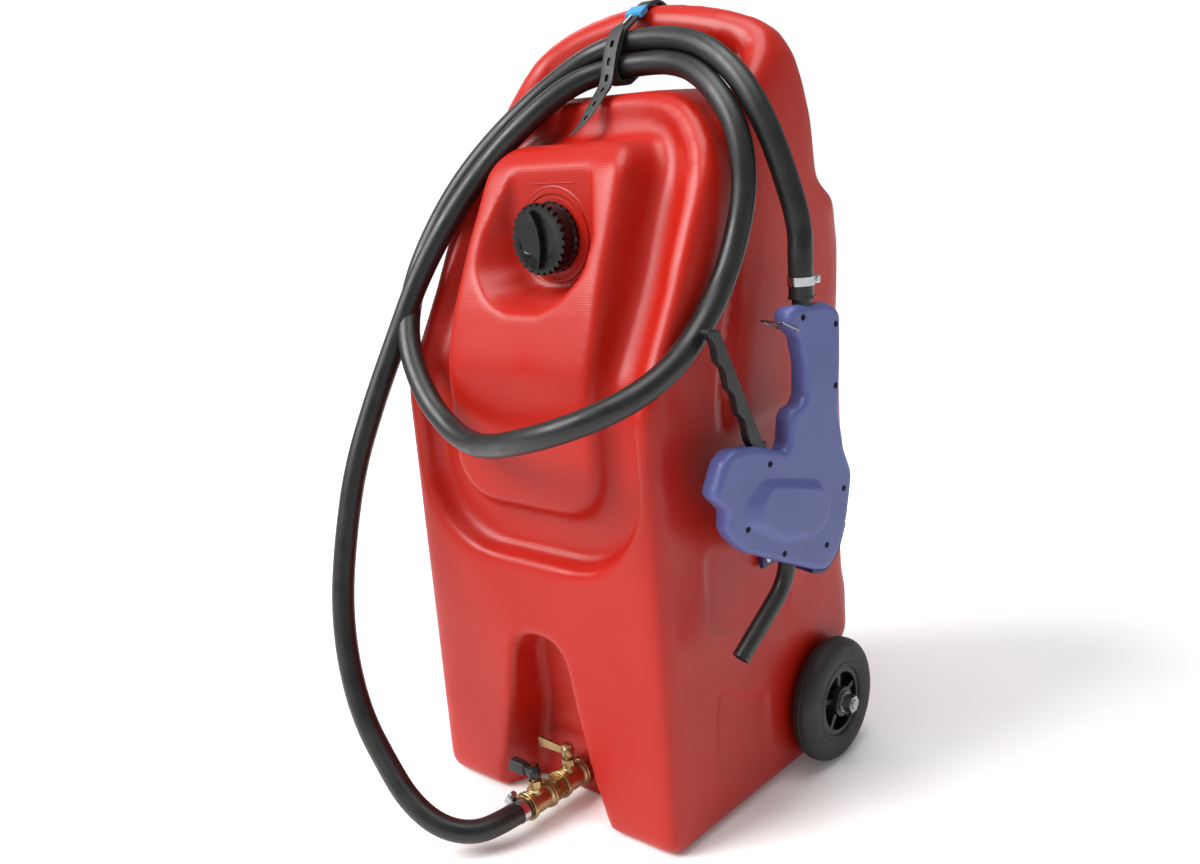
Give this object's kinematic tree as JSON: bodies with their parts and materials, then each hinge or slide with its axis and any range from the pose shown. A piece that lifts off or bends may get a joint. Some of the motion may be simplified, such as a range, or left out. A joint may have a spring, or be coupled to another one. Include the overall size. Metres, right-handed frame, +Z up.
{
  "type": "wheeled fuel tank",
  "caption": "Wheeled moulded fuel tank with a loop handle, screw cap, outlet ball valves, a long hose and a hand pump nozzle",
  "frame": {"origin": "on the floor under the centre of the tank body's depth and width", "axes": "+Z up, -Y towards the side with the filler cap, +X towards the side with the nozzle"},
  "size_m": [0.5105, 0.541, 0.907],
  "materials": {
    "moulded_red": "satin",
    "cap_black": "satin",
    "gasket_rubber": "matte",
    "brass": "satin",
    "chrome_ball": "gloss",
    "white_seat": "satin",
    "zinc": "satin",
    "steel_band": "satin",
    "spring_wire": "satin",
    "black_plastic": "satin",
    "hose_rubber": "satin",
    "strap_rubber": "matte",
    "keeper_blue": "gloss",
    "nozzle_violet": "satin",
    "holder_blue": "satin",
    "tyre_rubber": "matte"
  },
  "bodies": {
    "root": {"tank_body": "moulded_red", "filler_neck": "moulded_red", "outlet_bushing": "brass", "valve1_body": "brass", "valve1_seats": "white_seat", "valve1_gland": "brass", "hex_nipple": "brass", "valve2_body": "brass", "valve2_seats": "white_seat", "valve2_gland": "brass", "hose_barb": "brass", "hose_clamp_band": "steel_band", "hose_clamp_screw": "zinc", "fuel_hose": "hose_rubber", "hose_strap": "strap_rubber", "strap_keeper": "keeper_blue", "strap_prong": "zinc", "housing_outer": "nozzle_violet", "housing_inner": "nozzle_violet", "housing_screws": "zinc", "lever_pin": "zinc", "return_spring": "spring_wire", "spout": "black_plastic", "inlet_barb": "black_plastic", "inlet_tube": "black_plastic", "nozzle_clamp_band": "steel_band", "nozzle_clamp_screw": "zinc", "pump_cylinder": "white_seat", "nozzle_holder": "holder_blue", "holder_screws": "zinc", "axle": "zinc", "axle_washers": "zinc", "axle_nuts": "zinc"},
    "gasket": {"cap_gasket": "gasket_rubber"},
    "cap": {"filler_cap": "cap_black"},
    "vent": {"cap_vent_poppet": "cap_black"},
    "valve1_handle": {"valve1_lever": "brass", "valve1_ball": "chrome_ball", "valve1_stem": "brass", "valve1_nut": "zinc"},
    "valve2_handle": {"valve2_lever": "black_plastic", "valve2_ball": "chrome_ball", "valve2_stem": "brass", "valve2_nut": "zinc"},
    "lever": {"pump_lever": "black_plastic"},
    "piston": {"pump_piston": "black_plastic"},
    "latch": {"lever_latch": "spring_wire"},
    "inlet_check": {"inlet_check_ball": "spring_wire"},
    "outlet_check": {"outlet_check_ball": "spring_wire"},
    "wheel_left": {"wheel_hub_left": "black_plastic", "tyre_left": "tyre_rubber", "wheel_bush_left": "white_seat"},
    "wheel_right": {"wheel_hub_right": "black_plastic", "tyre_right": "tyre_rubber", "wheel_bush_right": "white_seat"}
  },
  "joints": [
    {"name": "cap_rise", "type": "slide", "parent": "root", "child": "gasket", "axis": [0, -1, 0], "range_m": [0, 0.0101]},
    {"name": "cap_turn", "type": "hinge", "parent": "gasket", "child": "cap", "pos_m": [0, -0.12, 0.66], "axis": [0, -1, 0], "range_deg": [0, 720]},
    {"name": "vent_lift", "type": "slide", "parent": "cap", "child": "vent", "axis": [0, 1, 0], "range_m": [0, 0.0015], "stiffness_N_per_m": 50, "springref_m": -0.001},
    {"name": "valve1_turn", "type": "hinge", "parent": "root", "child": "valve1_handle", "pos_m": [0, -0.159, 0.06], "axis": [0, 0, 1], "range_deg": [0, 90]},
    {"name": "valve2_turn", "type": "hinge", "parent": "root", "child": "valve2_handle", "pos_m": [0, -0.216, 0.06], "axis": [0, 0, 1], "range_deg": [0, 90]},
    {"name": "lever_squeeze", "type": "hinge", "parent": "root", "child": "lever", "pos_m": [0.23492, -0.07647, 0.427], "axis": [-0.9781, 0.2079, 0], "range_deg": [0, 20], "stiffness_Nm_per_rad": 1.5, "springref_deg": -11.46},
    {"name": "piston_stroke", "type": "slide", "parent": "root", "child": "piston", "axis": [-0.2079, -0.9781, 0], "range_m": [0, 0.0147]},
    {"name": "latch_swing", "type": "hinge", "parent": "root", "child": "latch", "pos_m": [0.24428, -0.03246, 0.558], "axis": [0.9781, -0.2079, 0], "range_deg": [0, 60]},
    {"name": "inlet_check_open", "type": "slide", "parent": "root", "child": "inlet_check", "axis": [0, 0, -1], "range_m": [0, 0.0013]},
    {"name": "outlet_check_open", "type": "slide", "parent": "root", "child": "outlet_check", "axis": [0, 0, -1], "range_m": [0, 0.0013]},
    {"name": "wheel_left_spin", "type": "hinge", "parent": "root", "child": "wheel_left", "pos_m": [-0.204, 0.1, 0.076], "axis": [1, 0, 0], "continuous": true},
    {"name": "wheel_right_spin", "type": "hinge", "parent": "root", "child": "wheel_right", "pos_m": [0.204, 0.1, 0.076], "axis": [1, 0, 0], "continuous": true}
  ],
  "couplings": [
    {"joint": "cap_rise", "follows": "cap_turn", "m_per_rad": 0.000796},
    {"joint": "piston_stroke", "follows": "lever_squeeze", "m_per_rad": 0.0415}
  ]
}
